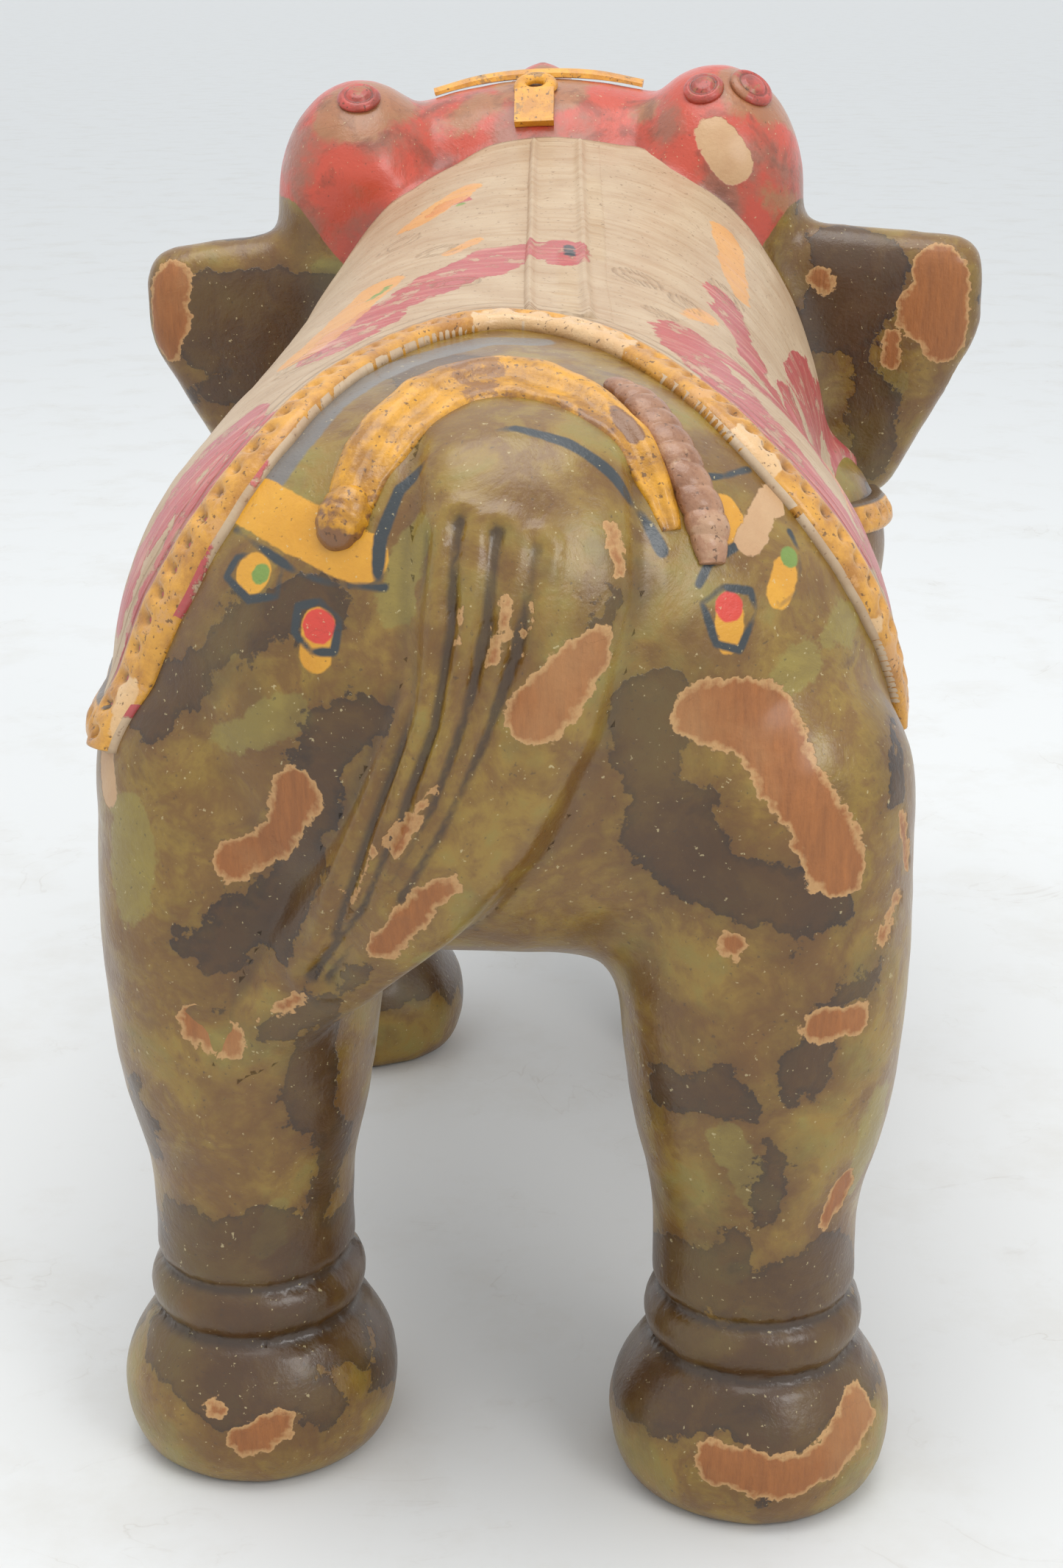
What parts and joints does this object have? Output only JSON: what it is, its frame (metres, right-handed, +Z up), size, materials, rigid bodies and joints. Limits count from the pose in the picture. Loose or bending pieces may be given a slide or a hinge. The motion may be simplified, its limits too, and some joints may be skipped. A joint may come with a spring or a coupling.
{
  "type": "carved wooden elephant figurine",
  "caption": "Standing elephant figurine of joined, carved and turned wood under painted gesso, with a raised saddle cloth, border, crupper and swept tail, for display on a shelf",
  "frame": {"origin": "on the ground, under the middle of the overall box", "axes": "+Z up, -Y the way the elephant faces, +X its left side"},
  "size_m": [0.1532, 0.2543, 0.1814],
  "materials": {
    "painted_wood": "olive and ochre paint over gesso, varnished, flaked to bare wood in patches",
    "red_painted_wood": "vermilion paint over gesso, worn at the crowns",
    "bare_wood": "bare close-grained orange-brown hardwood",
    "cloth_gesso": "cream gesso with brushed lines and worn crimson paint",
    "yellow_paint": "chrome-yellow paint over raised gesso, varnished and flaked",
    "tusk_white": "cream-white painted wood",
    "eye_black": "glossy black lacquer"
  },
  "bodies": {
    "root": {"torso_block": "painted_wood", "leg_rear_left": "painted_wood", "leg_rear_right": "painted_wood", "leg_front_left": "painted_wood", "leg_front_right": "painted_wood", "head_block": "red_painted_wood", "neck_dowel": "bare_wood", "trunk": "painted_wood", "tusk_left": "tusk_white", "tusk_right": "tusk_white", "ear_left": "painted_wood", "ear_right": "painted_wood", "ear_dowel_left": "bare_wood", "ear_dowel_right": "bare_wood", "eye_left": "eye_black", "eye_right": "eye_black", "tail": "painted_wood", "tail_pegs": "bare_wood", "saddle_cloth": "cloth_gesso", "cloth_border": "yellow_paint", "spine_band": "cloth_gesso", "crupper_strap": "yellow_paint", "crupper_rope": "bare_wood", "crown_knot": "yellow_paint", "head_band": "yellow_paint", "head_rosettes": "red_painted_wood"}
  },
  "joints": []
}
